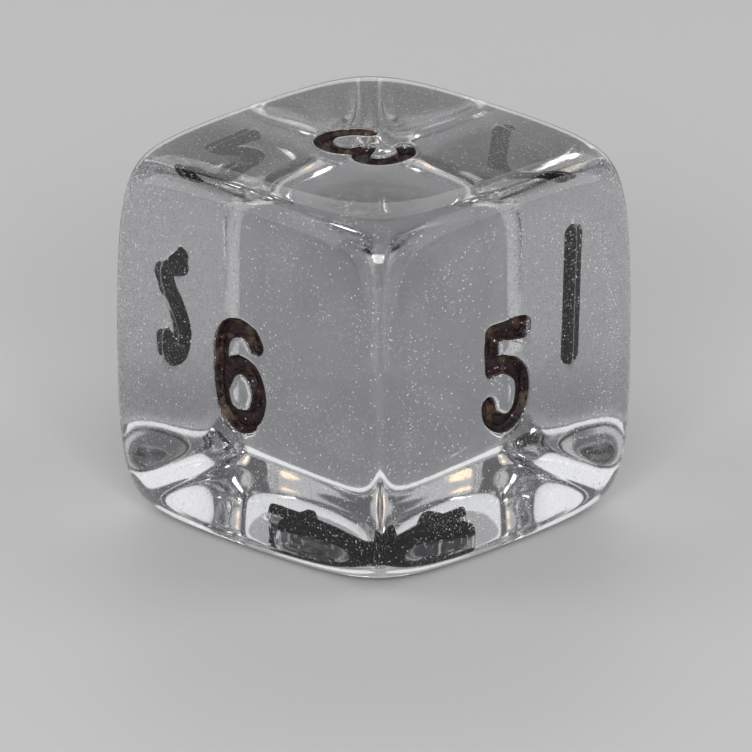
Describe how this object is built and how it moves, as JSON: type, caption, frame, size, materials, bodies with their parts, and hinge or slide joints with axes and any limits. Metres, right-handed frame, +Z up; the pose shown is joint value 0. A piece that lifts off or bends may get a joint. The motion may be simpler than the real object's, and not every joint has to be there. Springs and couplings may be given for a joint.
{
  "type": "clear six-sided die",
  "caption": "Clear six-sided gaming die with rounded edges, cut corners and engraved, paint-filled numerals.",
  "frame": {"origin": "centre of the face that the die stands on, the one with the 4", "axes": "+Z up through the face with the 3; +X out of the face with the 5; -Y out of the face with the 6"},
  "size_m": [0.016, 0.016, 0.0163],
  "materials": {
    "clear_acrylic": "clear colourless acrylic, tumbled to a soft polish with fine haze, dust and hairline scratches",
    "numeral_paint": "brown-black paint pooled in the engravings, glossy and a little patchy"
  },
  "bodies": {
    "root": {"clear_body": "clear_acrylic", "numeral_1_paint": "numeral_paint", "numeral_2_paint": "numeral_paint", "numeral_3_paint": "numeral_paint", "numeral_4_paint": "numeral_paint", "numeral_5_paint": "numeral_paint", "numeral_6_paint": "numeral_paint"}
  },
  "joints": []
}
